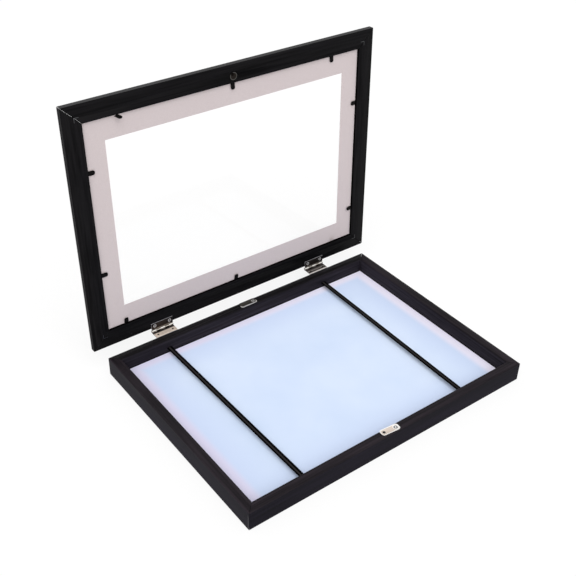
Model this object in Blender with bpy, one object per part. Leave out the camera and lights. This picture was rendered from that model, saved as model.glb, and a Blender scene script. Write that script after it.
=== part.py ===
"""Front-opening frame for children's art: a shallow tray for a stack of sheets, and a glazed door.

The mesh coordinates are those of the closed frame lying on its back: X along the hinge side, Y towards
the hinge side, Z up, with the tray's middle at zero. The door hangs from an empty on the hinge axis,
which is turned to the open pose, and each bendable tab from an empty on its own bend line.
"""
import math

import bmesh
import bpy
from mathutils import Matrix, Vector

# Clearances
seat_gap = 0.0003
mitre_gap = 0.0003
fastener_gap = 0.0002
slot_gap = 0.00015
cut_overrun = 0.001

# Paper and tray
paper_length = 0.297
paper_width = 0.210
paper_play_length = 0.0055
paper_play_width = 0.0085
tray_wall = 0.00925
tray_height = 0.0200
floor_height = 0.0045
liner_thickness = 0.0004
back_thickness = 0.0023
back_rebate_width = 0.00425
edge_ease = 0.0004

# Elastic straps
strap_width = 0.0052
strap_thickness = 0.0012
strap_edge = 0.0003
strap_height = 0.0095
strap_rear_place = 0.0980
strap_front_place = 0.0947
strap_slot_depth = 0.0040

# Door
door_overhang_length = 0.0088
door_overhang_width = 0.0067
door_thickness = 0.0074
door_rail_face = 0.0179
door_lip_width = 0.0060
door_lip_thickness = 0.0027
door_rounding = 0.0020
lip_chamfer = 0.0008
door_lean = math.radians(2.0)

# Glazing and mat
pane_thickness = 0.0010
mat_thickness = 0.0012
glazing_play = 0.0005
mat_border_ends = 0.0198
mat_border_sides = 0.0211
mat_bevel = 0.0009

# Bendable tabs: place along the opening's half side, bend up from the mat and slant, in degrees
tab_width = 0.0044
tab_thickness = 0.0004
tab_reach = 0.0062
tab_nose_radius = 0.0017
tab_rib_side = 0.0014
tab_rib = 0.00025
free_tab_shares = (-0.79, 0.005, 0.775)
hinge_tab_shares = (-0.87, -0.02, 0.82)
left_tab_shares = (-0.56, 0.42)
right_tab_shares = (-0.47, 0.68)
free_tab_bends = (76, 6, 4)
hinge_tab_bends = (6, 8, 48)
left_tab_bends = (4, 4)
right_tab_bends = (5, 5)
free_tab_slants = (-26, 0, 0)
hinge_tab_slants = (0, 4, 18)
left_tab_slants = (0, 0)
right_tab_slants = (0, 0)

# Hinges
left_hinge_place = -0.0945
right_hinge_place = 0.0985
hinge_length = 0.0243
hinge_knuckles = 5
leaf_thickness = 0.0007
leaf_reach = 0.0095
leaf_flange = 0.0090
pin_radius = 0.0006
pin_head = 0.0004
pin_chamfer = 0.0002
hinge_axis_reach = 0.00335
notch_reach = 0.0022
hinge_screw_spacing = 0.0168
hinge_screw_place = 0.0029
shelf_hole_radius = 0.0010
flange_screw_drop = 0.0050
roll_steps = 14
lower_roll_end = math.radians(190)
upper_roll_start = math.radians(135)

# Strike plate and rest plate
plate_length = 0.0198
plate_width = 0.0074
plate_thickness = 0.0007
plate_corner = 0.0024
plate_rim = 0.0008
plate_dish = 0.00025
plate_screw_spacing = 0.0128
strike_plate_place = -0.0048
strike_plate_inset = 0.0052
strike_plate_turn = math.radians(-4.3)
rest_plate_inset = 0.0046

# Magnet
magnet_radius = 0.0048
magnet_thickness = 0.0020
magnet_rim = 0.0007
magnet_dish = 0.0002
magnet_place = 0.0014
magnet_inset = 0.0116
magnet_screw_side = -0.0012
magnet_screw_rise = 0.0019

# Screws
screw_head_radius = 0.0016
screw_shank_radius = 0.0008
screw_head_height = 0.00045
screw_length = 0.0050
screw_tip_length = 0.0012
screw_tip_radius = 0.0002
drive_width = 0.0004
drive_length = 0.0017
drive_depth = 0.0002

# V-nails in the door's mitres
nail_leg = 0.0045
nail_thickness = 0.0004
nail_depth = 0.0035
door_nail_inset = 0.0112

# Points that hold the back panel
point_width = 0.0060
point_length = 0.0085
point_thickness = 0.0004
point_bite = 0.0028
long_point_shares = (-0.55, 0.55)
short_point_shares = (0,)

# Sawtooth hangers
hanger_length = 0.0380
hanger_width = 0.0080
hanger_thickness = 0.0005
hanger_teeth = 7
tooth_height = 0.0016
toothed_share = 0.55
hanger_corner = 0.0020
hanger_inset = 0.0140
prong_spacing = 0.0320
prong_width = 0.0020
prong_length = 0.0016

# Facets
small_round = 12
disc_round = 32
corner_steps = 4

# Sizes that follow
tray_length = paper_length + paper_play_length + 2 * tray_wall
tray_width = paper_width + paper_play_width + 2 * tray_wall
half_length = tray_length / 2
half_width = tray_width / 2
ledge_height = floor_height - liner_thickness
back_top = ledge_height - seat_gap
back_underside = back_top - back_thickness
mitre_relief = mitre_gap / math.sqrt(2)
door_half_length = half_length + door_overhang_length
door_half_width = half_width + door_overhang_width
opening_half_length = door_half_length - door_rail_face
opening_half_width = door_half_width - door_rail_face
inner_face = tray_height + seat_gap + plate_thickness + seat_gap
rebate_depth = door_thickness - door_lip_thickness
window_half_length = opening_half_length - mat_border_ends
window_half_width = opening_half_width - mat_border_sides
pane_depth = rebate_depth - seat_gap - pane_thickness
mat_depth = pane_depth - seat_gap - mat_thickness
tab_depth = mat_depth - seat_gap - tab_thickness / 2
bore_radius = pin_radius + seat_gap
roll_radius = bore_radius + leaf_thickness / 2
shelf_level = tray_height - leaf_thickness / 2
hinge_y = door_half_width + hinge_axis_reach
hinge_z = shelf_level + roll_radius
open_turn = math.pi / 2 + door_lean
upper_leaf_level = inner_face - seat_gap - leaf_thickness / 2


def clear_scene():
    for item in list(bpy.data.objects):
        bpy.data.objects.remove(item, do_unlink=True)


def make_material(name, color, roughness, metallic=0.0, alpha=1.0):
    material = bpy.data.materials.new(name)
    material.use_nodes = True
    shader = material.node_tree.nodes["Principled BSDF"]
    shader.inputs["Base Color"].default_value = (*color, 1.0)
    shader.inputs["Roughness"].default_value = roughness
    shader.inputs["Metallic"].default_value = metallic
    shader.inputs["Alpha"].default_value = alpha
    return material


def make_empty(name, parent=None, location=(0, 0, 0), rotation=(0, 0, 0)):
    empty = bpy.data.objects.new(name, None)
    bpy.context.scene.collection.objects.link(empty)
    empty.parent = parent
    empty.location = location
    empty.rotation_euler = rotation
    return empty


def make_object(name, bm, material, parent, location=(0, 0, 0), rotation=(0, 0, 0)):
    item = bpy.data.objects.new(name, make_mesh(name, bm, material))
    bpy.context.scene.collection.objects.link(item)
    item.parent = parent
    item.location = location
    item.rotation_euler = rotation
    return item


def make_copy(name, mesh, parent, place, offset=Vector()):
    """Object that shares a mesh, put at a matrix given in the closed frame's coordinates."""
    item = bpy.data.objects.new(name, mesh)
    bpy.context.scene.collection.objects.link(item)
    item.parent = parent
    item.location = place.translation - offset
    item.rotation_euler = place.to_euler()
    return item


def make_mesh(name, bm, material):
    bmesh.ops.recalc_face_normals(bm, faces=bm.faces)
    mesh = bpy.data.meshes.new(name)
    bm.to_mesh(mesh)
    bm.free()
    mesh.materials.append(material)
    return mesh


def make_cutter(name, bm, parent, location=(0, 0, 0)):
    cutter = make_object(name, bm, WOOD, parent, location)
    cutter.hide_render = True
    cutter.display_type = "WIRE"
    return cutter


def cut(item, cutter, operation="DIFFERENCE"):
    modifier = item.modifiers.new(cutter.name, "BOOLEAN")
    modifier.operation = operation
    modifier.solver = "EXACT"
    modifier.object = cutter


def shade_round(mesh):
    mesh.shade_smooth()
    mesh.set_sharp_from_angle(angle=math.radians(40))


def add_prism(bm, outline, run, place=Matrix()):
    """Closed prism: a flat outline of points, carried along a vector."""
    near = [bm.verts.new(place @ Vector(point)) for point in outline]
    far = [bm.verts.new(place @ (Vector(point) + Vector(run))) for point in outline]
    bm.faces.new(near)
    bm.faces.new(list(reversed(far)))
    for index in range(len(outline)):
        following = (index + 1) % len(outline)
        bm.faces.new((near[index], far[index], far[following], near[following]))


def add_box(bm, low, high, place=Matrix()):
    x0, y0, z0 = low
    x1, y1, z1 = high
    add_prism(bm, ((x0, y0, z0), (x1, y0, z0), (x1, y1, z0), (x0, y1, z0)), (0, 0, z1 - z0), place)


def add_turned(bm, profile, segments, place=Matrix(), capped=True):
    """Solid of revolution about Z from (radius, height) pairs, closed at its ends by flat caps.

    The last cap can be left out, and the last ring is returned.
    """
    rings = []
    for radius, height in profile:
        angles = [2 * math.pi * step / segments for step in range(segments)]
        rings.append([
            bm.verts.new(place @ Vector((radius * math.cos(a), radius * math.sin(a), height))) for a in angles
        ])
    bm.faces.new(rings[0])
    if capped:
        bm.faces.new(list(reversed(rings[-1])))
    for ring, above in zip(rings, rings[1:]):
        for step in range(segments):
            after = (step + 1) % segments
            bm.faces.new((ring[step], above[step], above[after], ring[after]))
    return rings[-1]


def rounded_rectangle(length, width, radius, steps=corner_steps):
    points = []
    for quarter, (side_x, side_y) in enumerate(((1, 1), (-1, 1), (-1, -1), (1, -1))):
        for step in range(steps + 1):
            angle = math.pi / 2 * (quarter + step / steps)
            points.append((
                side_x * (length / 2 - radius) + radius * math.cos(angle),
                side_y * (width / 2 - radius) + radius * math.sin(angle),
                0,
            ))
    return points


def mitred_rail(profile, half_run, half_across, turns):
    """Bar along X at -Y with 45 degree ends, from (inward, up) pairs, turned by quarter turns about Z."""
    bm = bmesh.new()
    ends = []
    for side in (-1, 1):
        ends.append([
            bm.verts.new((side * (half_run - inward - mitre_relief), inward - half_across, up))
            for inward, up in profile
        ])
    bm.faces.new(ends[0])
    bm.faces.new(list(reversed(ends[1])))
    for index in range(len(profile)):
        following = (index + 1) % len(profile)
        bm.faces.new((ends[0][index], ends[1][index], ends[1][following], ends[0][following]))
    bmesh.ops.rotate(bm, verts=bm.verts, matrix=Matrix.Rotation(turns * math.pi / 2, 3, "Z"))
    return bm


def bent_sheet(path, thickness, stations, is_there):
    """Sheet metal bent along a centre line of (y, z) points and cut into knuckles at X stations."""
    sides = []
    for index, (y, z) in enumerate(path):
        before = Vector(path[max(index - 1, 0)])
        after = Vector(path[min(index + 1, len(path) - 1)])
        here = Vector((y, z))
        steps = [(b - a).normalized() for a, b in ((before, here), (here, after)) if (b - a).length > 0]
        along = sum(steps, Vector((0, 0))).normalized()
        across = Vector((-along.y, along.x))
        stretch = 1 / max(along.dot(steps[0]), math.cos(math.pi / 4))
        offset = across * thickness / 2 * stretch
        sides.append((here - offset, here + offset))
    bm = bmesh.new()
    made = {}

    def vertex(station, index, side):
        key = (station, index, side)
        if key not in made:
            y, z = sides[index][side]
            made[key] = bm.verts.new((stations[station], y, z))
        return made[key]

    def there(station, index):
        inside = 0 <= station < len(stations) - 1 and 0 <= index < len(path) - 1
        return inside and is_there(station, index)

    for s in range(len(stations) - 1):
        for i in range(len(path) - 1):
            if not there(s, i):
                continue
            for side in (0, 1):
                bm.faces.new((vertex(s, i, side), vertex(s + 1, i, side),
                              vertex(s + 1, i + 1, side), vertex(s, i + 1, side)))
            for neighbour, edge in ((s - 1, s), (s + 1, s + 1)):
                if not there(neighbour, i):
                    bm.faces.new((vertex(edge, i, 0), vertex(edge, i + 1, 0),
                                  vertex(edge, i + 1, 1), vertex(edge, i, 1)))
            for neighbour, edge in ((i - 1, i), (i + 1, i + 1)):
                if not there(s, neighbour):
                    bm.faces.new((vertex(s, edge, 0), vertex(s + 1, edge, 0),
                                  vertex(s + 1, edge, 1), vertex(s, edge, 1)))
    return bm


def arc(centre_y, centre_z, radius, start, end, steps):
    turn = (end - start) / steps
    return [
        (centre_y + radius * math.cos(start + turn * step), centre_z + radius * math.sin(start + turn * step))
        for step in range(steps + 1)
    ]


def screw_mesh():
    """Countersunk screw: its head's top is at the origin with a cross recess, and it points down -Z."""
    profile = (
        (screw_tip_radius, -screw_length),
        (screw_shank_radius, screw_tip_length - screw_length),
        (screw_shank_radius, -screw_head_height),
        (screw_head_radius, 0),
    )
    bm = bmesh.new()
    rim = add_turned(bm, profile, small_round, Matrix.Rotation(math.pi / 4, 4, "Z"), False)
    half, reach = drive_width / 2, drive_length / 2
    cross = (
        (half, half), (half, reach), (-half, reach), (-half, half), (-reach, half), (-reach, -half),
        (-half, -half), (-half, -reach), (half, -reach), (half, -half), (reach, -half), (reach, half),
    )
    edge = [bm.verts.new((x, y, 0)) for x, y in cross]
    floor = [bm.verts.new((x, y, -drive_depth)) for x, y in cross]
    for index in range(small_round):
        after = (index + 1) % small_round
        bm.faces.new((rim[index], rim[after], edge[after], edge[index]))
        bm.faces.new((edge[index], edge[after], floor[after], floor[index]))
    bm.faces.new(floor)
    mesh = make_mesh("screw", bm, NICKEL)
    shade_round(mesh)
    return mesh


def make_screws(names, places, parent, offset=Vector()):
    for name, place in zip(names, places):
        make_copy(name, SCREW, parent, place, offset)


def add_head_hole(bm, place, depth=leaf_thickness):
    """Cutter for the countersunk hole of a screw in a plate or leaf."""
    wide = screw_head_radius + fastener_gap
    narrow = screw_shank_radius + fastener_gap
    profile = ((wide, cut_overrun), (wide, 0), (narrow, -screw_head_height), (narrow, -depth - cut_overrun))
    add_turned(bm, profile, small_round, place)


def add_pilot(bm, place):
    """Cutter for the screw's hole in the wood below its plate."""
    radius = screw_shank_radius + fastener_gap
    profile = ((radius, 0), (radius, -screw_length - seat_gap))
    add_turned(bm, profile, small_round, place)


def make_holes(name, places, parent, location=(0, 0, 0), adder=add_head_hole):
    bm = bmesh.new()
    for place in places:
        adder(bm, place)
    return make_cutter(name, bm, parent, location)


def tray_profile():
    bottom_width = tray_wall - back_rebate_width
    return (
        (0, 0),
        (bottom_width, 0),
        (bottom_width, ledge_height),
        (tray_wall, ledge_height),
        (tray_wall, tray_height - edge_ease),
        (tray_wall - edge_ease, tray_height),
        (edge_ease, tray_height),
        (0, tray_height - edge_ease),
    )


def door_profile():
    face = inner_face
    front = inner_face + door_thickness
    lip_end = door_rail_face + door_lip_width
    rounding = arc(door_rounding, front - door_rounding, door_rounding, math.pi / 2, math.pi, corner_steps)
    return (
        (0, face + edge_ease),
        (edge_ease, face),
        (door_rail_face, face),
        (door_rail_face, face + rebate_depth),
        (lip_end, face + rebate_depth),
        (lip_end, front - lip_chamfer),
        (lip_end - lip_chamfer, front),
        *rounding,
    )


def frame_middle():
    """Y midway between the tray's front face and the rearmost edge of the open door."""
    free_edge = -door_half_width - hinge_y
    rear = max(
        (free_edge + inward) * math.cos(open_turn) + (up - hinge_z) * math.sin(open_turn)
        for inward, up in door_profile()
    )
    return (hinge_y + rear - half_width) / 2


def make_rails(names, profile, half_run, half_across, parent, location=(0, 0, 0)):
    """Front, right, rear and left rail of a mitred frame, in the order of the names."""
    rails = []
    for turns, name in enumerate(names):
        sizes = (half_run, half_across) if turns % 2 == 0 else (half_across, half_run)
        rails.append(make_object(name, mitred_rail(profile, *sizes, turns), WOOD, parent, location))
    return rails


def corner_places(half_run, half_across, inset, height):
    """Places at the four mitres, each turned so that its +X and +Y run along the two outer edges inward."""
    corners = ((-1, -1, 0), (1, -1, 1), (1, 1, 2), (-1, 1, 3))
    return [
        Matrix.Translation((side_x * (half_run - inset), side_y * (half_across - inset), height))
        @ Matrix.Rotation(turns * math.pi / 2, 4, "Z")
        for side_x, side_y, turns in corners
    ]


def add_nail(bm, place, grow=0.0, overrun=0.0):
    """V-nail from the wood's face up into it; the same shape, grown, cuts its slot."""
    low, high, leg = -grow, nail_thickness + grow, nail_leg + grow
    outline = ((low, low), (leg, low), (leg, high), (high, high), (high, leg), (low, leg))
    add_prism(bm, [(x, y, -overrun) for x, y in outline], (0, 0, nail_depth + grow + overrun), place)


def make_corner_nails(door, offset, rails):
    bm = bmesh.new()
    add_nail(bm, Matrix())
    mesh = make_mesh("corner_nail", bm, STEEL)
    slots = bmesh.new()
    corners = ("free_left", "free_right", "hinge_right", "hinge_left")
    for corner, place in zip(corners, corner_places(door_half_length, door_half_width, door_nail_inset, inner_face)):
        make_copy("corner_nail_" + corner, mesh, door, place, offset)
        add_nail(slots, place, slot_gap, cut_overrun)
    slot_cutter = make_cutter("nail_slots", slots, door, -offset)
    for rail in rails:
        cut(rail, slot_cutter)


def make_tray(base):
    rails = make_rails(
        ("tray_rail_front", "tray_rail_right", "tray_rail_rear", "tray_rail_left"),
        tray_profile(), half_length, half_width, base,
    )
    make_back(base, rails)
    make_straps(base, rails[0], rails[2])
    make_plates(base, rails[0], rails[2])
    return rails


def make_back(base, rails):
    """Back panel in the tray's rebate, the liner on it, and the points that hold it."""
    rebate_wall = tray_wall - back_rebate_width
    panel_x = half_length - rebate_wall - seat_gap
    panel_y = half_width - rebate_wall - seat_gap
    bm = bmesh.new()
    add_box(bm, (-panel_x, -panel_y, back_underside), (panel_x, panel_y, back_top))
    panel = make_object("back_panel", bm, BOARD, base)
    liner_x = half_length - tray_wall - seat_gap
    liner_y = half_width - tray_wall - seat_gap
    bm = bmesh.new()
    add_box(bm, (-liner_x, -liner_y, ledge_height), (liner_x, liner_y, floor_height))
    make_object("liner_card", bm, LINER, base)
    make_points(base, rails, rebate_wall)
    make_hangers(base, panel, rebate_wall)


def make_points(base, rails, rebate_wall):
    """Flat points, driven into the rebate's walls, that hold the back panel up against its ledge."""
    outline = (
        (0, -point_bite, 0), (point_width / 2, 0, 0), (point_width / 2, point_length - point_bite, 0),
        (-point_width / 2, point_length - point_bite, 0), (-point_width / 2, 0, 0),
    )
    bm = bmesh.new()
    add_prism(bm, outline, (0, 0, point_thickness))
    mesh = make_mesh("back_point", bm, STEEL)
    slots = bmesh.new()
    underside = back_underside - seat_gap - point_thickness
    reach = point_width / 2 + seat_gap
    sides = (
        ("front", long_point_shares, half_length, half_width), ("right", short_point_shares, half_width, half_length),
        ("rear", long_point_shares, half_length, half_width), ("left", short_point_shares, half_width, half_length),
    )
    for turns, (side, shares, half_run, half_across) in enumerate(sides):
        for number, share in enumerate(shares, 1):
            place = Matrix.Rotation(turns * math.pi / 2, 4, "Z") @ Matrix.Translation(
                (share * (half_run - tray_wall), rebate_wall - half_across, underside))
            make_copy("back_point_{}_{}".format(side, number), mesh, base, place)
            add_box(slots, (-reach, -point_bite - seat_gap, -slot_gap),
                    (reach, cut_overrun, point_thickness + slot_gap), place)
    slot_cutter = make_cutter("point_slots", slots, base)
    for rail in rails:
        cut(rail, slot_cutter)


def hanger_outline():
    """Strip with a sawtooth edge at -Y and rounded ends, lying in XY."""
    toothed = hanger_length * toothed_share
    pitch = toothed / hanger_teeth
    low = -hanger_width / 2
    points = []
    for tooth in range(hanger_teeth):
        left = -toothed / 2 + tooth * pitch
        points.append((left, low, 0))
        points.append((left + pitch / 2, low + tooth_height, 0))
    points.append((toothed / 2, low, 0))
    for point in rounded_rectangle(hanger_length, hanger_width, hanger_corner)[-corner_steps - 1:]:
        points.append(point)
    for point in rounded_rectangle(hanger_length, hanger_width, hanger_corner)[:-corner_steps - 1]:
        points.append(point)
    return points


def add_prongs(bm, place, grow=0.0):
    """A hanger's two prongs, pressed up into the back panel; grown, they cut their slots."""
    for side in (-1, 1):
        middle = side * prong_spacing / 2
        half_w, half_t = prong_width / 2 + grow, hanger_thickness / 2 + grow
        add_box(bm, (middle - half_w, -half_t, -hanger_thickness / 2),
                (middle + half_w, half_t, seat_gap + prong_length + grow), place)


def make_hangers(base, panel, rebate_wall):
    """Hangers under the panel at the hinge side and at the left side, teeth towards the middle."""
    top = back_underside - seat_gap
    places = (
        ("sawtooth_hanger_hinge_side", Matrix.Translation((0, half_width - rebate_wall - hanger_inset, top))),
        ("sawtooth_hanger_left_side", Matrix.Rotation(math.pi / 2, 4, "Z")
         @ Matrix.Translation((0, half_length - rebate_wall - hanger_inset, top))),
    )
    slots = bmesh.new()
    for name, place in places:
        bm = bmesh.new()
        add_prism(bm, hanger_outline(), (0, 0, -hanger_thickness), place)
        prongs = bmesh.new()
        add_prongs(prongs, place)
        cut(make_object(name, bm, STEEL, base), make_cutter(name + "_prongs", prongs, base), "UNION")
        add_prongs(slots, place, slot_gap)
    cut(panel, make_cutter("prong_slots", slots, base))


def make_straps(base, front_rail, rear_rail):
    """Flat elastic straps whose ends sit in slots in the front and rear rail."""
    slots = bmesh.new()
    wall_y = half_width - tray_wall
    reach = wall_y + strap_slot_depth - seat_gap
    half_w, half_t, edge = strap_width / 2, strap_thickness / 2, strap_edge
    section = (
        (half_w - edge, -half_t), (half_w, edge - half_t), (half_w, half_t - edge), (half_w - edge, half_t),
        (edge - half_w, half_t), (-half_w, half_t - edge), (-half_w, edge - half_t), (edge - half_w, -half_t),
    )
    for name, side in (("strap_left", -1), ("strap_right", 1)):
        rear = Vector((side * strap_rear_place, wall_y, strap_height))
        front = Vector((side * strap_front_place, -wall_y, strap_height))
        along = (rear - front).normalized()
        turn = math.atan2(-along.x, along.y)
        middle = (rear + front) / 2
        bm = bmesh.new()
        add_prism(bm, [(x, -reach, z) for x, z in section], (0, 2 * reach, 0))
        strap = make_object(name, bm, ELASTIC, base, middle, (0, 0, turn))
        shade_round(strap.data)
        for end, way in ((rear, 1), (front, -1)):
            low_y, high_y = sorted((-way * cut_overrun, way * strap_slot_depth))
            low = Vector((-half_w - seat_gap, low_y, -half_t - seat_gap))
            high = Vector((half_w + seat_gap, high_y, half_t + seat_gap))
            add_box(slots, low, high, Matrix.Translation(end))
    slot_cutter = make_cutter("strap_slots", slots, base)
    cut(front_rail, slot_cutter)
    cut(rear_rail, slot_cutter)


def dished_plate(outline, thickness, rim, dish):
    """Pressed plate from an outline: a prism whose top is dished, or raised, inside a rim."""
    bm = bmesh.new()
    add_prism(bm, outline, (0, 0, thickness))
    bm.normal_update()
    bmesh.ops.recalc_face_normals(bm, faces=bm.faces)
    top = max(bm.faces, key=lambda face: face.calc_center_median().z)
    bmesh.ops.inset_region(bm, faces=[top], thickness=rim)
    bmesh.ops.translate(bm, verts=top.verts, vec=(0, 0, -dish))
    return bm


def make_plates(base, front_rail, rear_rail):
    places = (
        ("strike_plate", Matrix.Translation(
            (strike_plate_place, strike_plate_inset - half_width, tray_height + seat_gap))
            @ Matrix.Rotation(strike_plate_turn, 4, "Z"), front_rail),
        ("rest_plate", Matrix.Translation((0, half_width - rest_plate_inset, tray_height + seat_gap)), rear_rail),
    )
    dish_top = plate_thickness - plate_dish
    for name, place, rail in places:
        outline = rounded_rectangle(plate_length, plate_width, plate_corner)
        bm = dished_plate(outline, plate_thickness, plate_rim, plate_dish)
        bmesh.ops.transform(bm, matrix=place, verts=bm.verts)
        plate = make_object(name, bm, NICKEL, base)
        tops = [place @ Matrix.Translation((side * plate_screw_spacing / 2, 0, dish_top)) for side in (-1, 1)]
        cut(plate, make_holes(name + "_holes", tops, base))
        cut(rail, make_holes(name + "_pilots", tops, base, adder=add_pilot))
        shade_round(plate.data)
        make_screws((name + "_screw_left", name + "_screw_right"), tops, base)


def knuckle_stations(own_first):
    """X stations of one leaf's knuckles: its own are left full, and the other's are cut with clearance."""
    pitch = hinge_length / hinge_knuckles
    stations = [-hinge_length / 2]
    for joint in range(1, hinge_knuckles):
        own_before = (joint % 2 == 1) == own_first
        stations.append(-hinge_length / 2 + joint * pitch + (-seat_gap if own_before else seat_gap) / 2)
    stations.append(hinge_length / 2)
    return stations


def lower_leaf():
    """Flange down the rear rail, shelf out to the barrel, and every odd knuckle rolled round the pin."""
    flange_y = half_width + seat_gap + leaf_thickness / 2
    bend = leaf_thickness
    path = [(flange_y, shelf_level - leaf_flange)]
    path += arc(flange_y + bend, shelf_level - bend, bend, math.pi, math.pi / 2, corner_steps)
    path.append((hinge_y - notch_reach, shelf_level))
    shelf_end = len(path) - 1
    path += arc(hinge_y, hinge_z, roll_radius, -math.pi / 2, lower_roll_end, roll_steps)
    return bent_sheet(path, leaf_thickness, knuckle_stations(True),
                      lambda station, index: index < shelf_end or station % 2 == 0)


def upper_leaf():
    """Leaf on the door's inner face, its even knuckles hooked over the pin with a tail that stops the door.

    With the door open the tails lie under the barrel, level with the shelf, and meet its notched edge.
    """
    rise = hinge_z - upper_leaf_level
    start_y = hinge_y + roll_radius * math.cos(upper_roll_start)
    start_z = hinge_z + roll_radius * math.sin(upper_roll_start)
    slope_y = start_y - (start_z - hinge_z + rise)
    path = [(hinge_y - leaf_reach, upper_leaf_level), (hinge_y - notch_reach, upper_leaf_level)]
    leaf_end = len(path) - 1
    path.append((slope_y, upper_leaf_level))
    path += arc(hinge_y, hinge_z, roll_radius, upper_roll_start, door_lean, roll_steps)
    tail = notch_reach - seat_gap
    tail_y, tail_z = path[-1]
    path.append((tail_y + tail * math.sin(door_lean), tail_z - tail * math.cos(door_lean)))
    return bent_sheet(path, leaf_thickness, knuckle_stations(False),
                      lambda station, index: index < leaf_end or station % 2 == 1)


def make_hinge(side, place_x, base, door, door_place, rear_rail, hinge_rail):
    at = Matrix.Translation((place_x, 0, 0))
    flange_face = half_width + seat_gap + leaf_thickness
    facing_rear = Matrix.Rotation(-math.pi / 2, 4, "X")
    facing_down = Matrix.Rotation(math.pi, 4, "X")
    offsets = (-hinge_screw_spacing / 2, hinge_screw_spacing / 2)

    bm = lower_leaf()
    bmesh.ops.transform(bm, matrix=at, verts=bm.verts)
    lower = make_object(side + "_hinge_lower_leaf", bm, NICKEL, base)
    shade_round(lower.data)
    screw_z = shelf_level - flange_screw_drop
    flange_tops = [at @ Matrix.Translation((x, flange_face, screw_z)) @ facing_rear for x in offsets]
    cut(lower, make_holes(side + "_flange_holes", flange_tops, base))
    cut(rear_rail, make_holes(side + "_flange_pilots", flange_tops, base, adder=add_pilot))
    shelf_holes = bmesh.new()
    shelf_middle = (half_width + hinge_y - notch_reach) / 2
    for x in offsets:
        hole_profile = ((shelf_hole_radius, -cut_overrun), (shelf_hole_radius, cut_overrun))
        add_turned(shelf_holes, hole_profile, small_round, at @ Matrix.Translation((x, shelf_middle, shelf_level)))
    cut(lower, make_cutter(side + "_shelf_holes", shelf_holes, base))

    bm = upper_leaf()
    bmesh.ops.transform(bm, matrix=at, verts=bm.verts)
    upper = make_object(side + "_hinge_upper_leaf", bm, NICKEL, door, door_place)
    shade_round(upper.data)
    leaf_face = upper_leaf_level - leaf_thickness / 2
    screw_y = door_half_width - hinge_screw_place
    leaf_tops = [at @ Matrix.Translation((x, screw_y, leaf_face)) @ facing_down for x in offsets]
    cut(upper, make_holes(side + "_leaf_holes", leaf_tops, door, door_place))
    cut(hinge_rail, make_holes(side + "_leaf_pilots", leaf_tops, door, door_place, add_pilot))

    bm = bmesh.new()
    reach = hinge_length / 2 + pin_head
    profile = (
        (pin_radius - pin_chamfer, -reach), (pin_radius, pin_chamfer - reach),
        (pin_radius, reach - pin_chamfer), (pin_radius - pin_chamfer, reach),
    )
    add_turned(bm, profile, small_round, Matrix.Rotation(math.pi / 2, 4, "Y"))
    shade_round(make_object(side + "_hinge_pin", bm, NICKEL, base, (place_x, hinge_y, hinge_z)).data)
    ends = ("left", "right")
    make_screws([side + "_hinge_tray_screw_" + end for end in ends], flange_tops, base)
    make_screws([side + "_hinge_door_screw_" + end for end in ends], leaf_tops, door, -door_place)


def make_magnet(door, door_place, free_rail):
    """Disc magnet let into the free rail's inner face, with its screw."""
    facing_down = Matrix.Rotation(math.pi, 4, "X")
    centre = Matrix.Translation((magnet_place, magnet_inset - door_half_width, inner_face)) @ facing_down
    circle = [
        (magnet_radius * math.cos(angle), magnet_radius * math.sin(angle), 0)
        for angle in (2 * math.pi * step / disc_round for step in range(disc_round))
    ]
    bm = dished_plate(circle, magnet_thickness, magnet_rim, magnet_dish)
    bmesh.ops.transform(bm, matrix=centre @ Matrix.Translation((0, 0, -magnet_thickness)), verts=bm.verts)
    magnet = make_object("magnet_disc", bm, MAGNET, door, door_place)
    shade_round(magnet.data)
    pocket = bmesh.new()
    radius = magnet_radius + fastener_gap
    add_turned(pocket, ((radius, -magnet_thickness - seat_gap), (radius, cut_overrun)), disc_round, centre)
    cut(free_rail, make_cutter("magnet_pocket", pocket, door, door_place))
    screw_top = centre @ Matrix.Translation((magnet_screw_side, magnet_screw_rise, -magnet_dish))
    hole = bmesh.new()
    add_head_hole(hole, screw_top, magnet_thickness)
    cut(magnet, make_cutter("magnet_hole", hole, door, door_place))
    cut(free_rail, make_holes("magnet_pilot", [screw_top], door, door_place, add_pilot))
    make_screws(["magnet_screw"], [screw_top], door, -door_place)


def make_glazing(door, door_place):
    pane_x = opening_half_length - glazing_play
    pane_y = opening_half_width - glazing_play
    bm = bmesh.new()
    pane_low = inner_face + pane_depth
    add_box(bm, (-pane_x, -pane_y, pane_low), (pane_x, pane_y, pane_low + pane_thickness))
    make_object("clear_pane", bm, CLEAR, door, door_place)
    bm = bmesh.new()
    mat_low = inner_face + mat_depth
    mat_high = mat_low + mat_thickness
    loops = []
    for x, y, z in (
        (pane_x, pane_y, mat_low),
        (window_half_length, window_half_width, mat_low),
        (window_half_length + mat_bevel, window_half_width + mat_bevel, mat_high),
        (pane_x, pane_y, mat_high),
    ):
        loops.append([bm.verts.new(corner) for corner in ((-x, -y, z), (x, -y, z), (x, y, z), (-x, y, z))])
    for loop, following in zip(loops, loops[1:] + loops[:1]):
        for corner in range(4):
            after = (corner + 1) % 4
            bm.faces.new((loop[corner], loop[after], following[after], following[corner]))
    make_object("mat_board", bm, MAT, door, door_place)


def tab_outline():
    """Exposed part of a tab from its bend line at the origin along +Y, with a round nose."""
    half = tab_width / 2
    nose = [(x, y) for x, y in arc(half - tab_nose_radius, tab_reach - tab_nose_radius, tab_nose_radius,
                                   0, math.pi / 2, corner_steps)]
    right = [(half, 0)] + nose
    return [(x, y, 0) for x, y in right] + [(-x, y, 0) for x, y in reversed(right)]


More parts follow.
